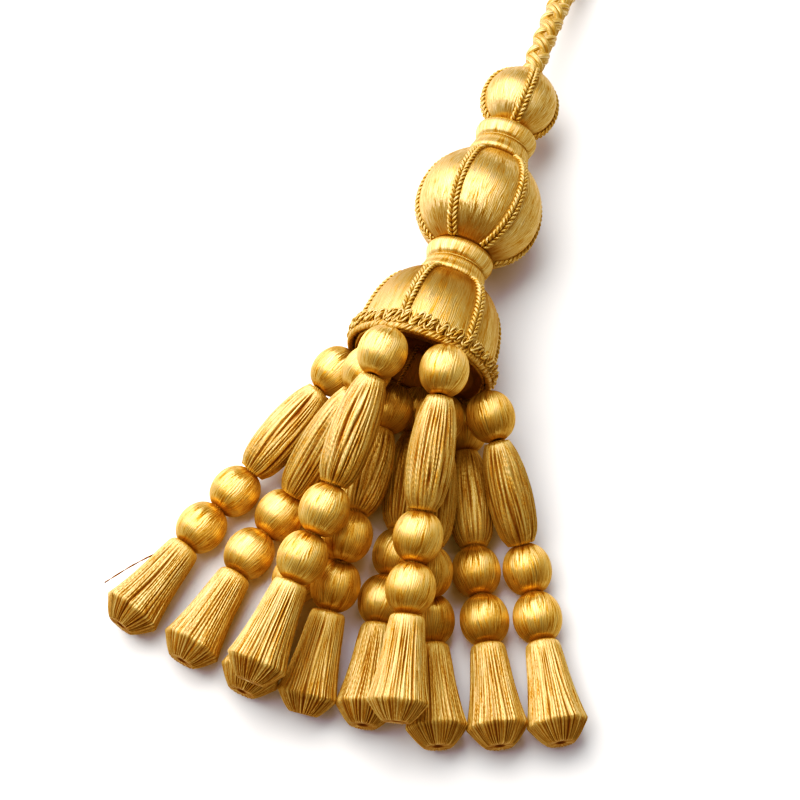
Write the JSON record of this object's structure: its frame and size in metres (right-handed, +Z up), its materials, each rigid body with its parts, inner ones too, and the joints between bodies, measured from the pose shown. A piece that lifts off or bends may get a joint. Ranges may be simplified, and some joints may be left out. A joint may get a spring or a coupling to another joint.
{
  "type": "silk tassel with beaded strings",
  "caption": "Decorative gold silk tassel: thread-covered head of ball, lobed ball and bell with a braided hem, strings of covered beads below, and a braided hanging cord. Lies on a table.",
  "frame": {"origin": "on the table, under the middle of the tassel without its hanging cord", "axes": "+Z up from the table, +Y along the head from the strings towards the hanging cord"},
  "size_m": [0.1312, 0.2929, 0.0487],
  "materials": {
    "floss": "smooth satin silk floss laid lengthwise",
    "wound_yarn": "ribbed silk cord laid lengthwise",
    "collar": "satin silk floss over a grooved collar",
    "braid": "openwork braid of fine looped cord",
    "cord": "plaited silk cord"
  },
  "bodies": {
    "root": {"bell": "floss", "hem_braid": "braid", "lower_collar": "collar", "pumpkin": "floss", "upper_collar": "collar", "crown_ball": "floss", "suspension_cord": "cord", "cord_knot": "cord", "string_01_top_ball": "floss", "string_01_olive": "wound_yarn", "string_01_mid_ball": "floss", "string_01_low_ball": "floss", "string_01_drop": "wound_yarn", "string_02_top_ball": "floss", "string_02_olive": "wound_yarn", "string_02_mid_ball": "floss", "string_02_low_ball": "floss", "string_02_drop": "wound_yarn", "string_03_top_ball": "floss", "string_03_olive": "wound_yarn", "string_03_mid_ball": "floss", "string_03_low_ball": "floss", "string_03_drop": "wound_yarn", "string_04_top_ball": "floss", "string_04_olive": "wound_yarn", "string_04_mid_ball": "floss", "string_04_low_ball": "floss", "string_04_drop": "wound_yarn", "string_05_top_ball": "floss", "string_05_olive": "wound_yarn", "string_05_mid_ball": "floss", "string_05_low_ball": "floss", "string_05_drop": "wound_yarn", "string_06_top_ball": "floss", "string_06_olive": "wound_yarn", "string_06_mid_ball": "floss", "string_06_low_ball": "floss", "string_06_drop": "wound_yarn", "string_07_top_ball": "floss", "string_07_olive": "wound_yarn", "string_07_mid_ball": "floss", "string_07_low_ball": "floss", "string_07_drop": "wound_yarn", "string_08_top_ball": "floss", "string_08_olive": "wound_yarn", "string_08_mid_ball": "floss", "string_08_low_ball": "floss", "string_08_drop": "wound_yarn", "string_09_top_ball": "floss", "string_09_olive": "wound_yarn", "string_09_mid_ball": "floss", "string_09_low_ball": "floss", "string_09_drop": "wound_yarn", "string_10_top_ball": "floss", "string_10_olive": "wound_yarn", "string_10_mid_ball": "floss", "string_10_low_ball": "floss", "string_10_drop": "wound_yarn"}
  },
  "joints": []
}
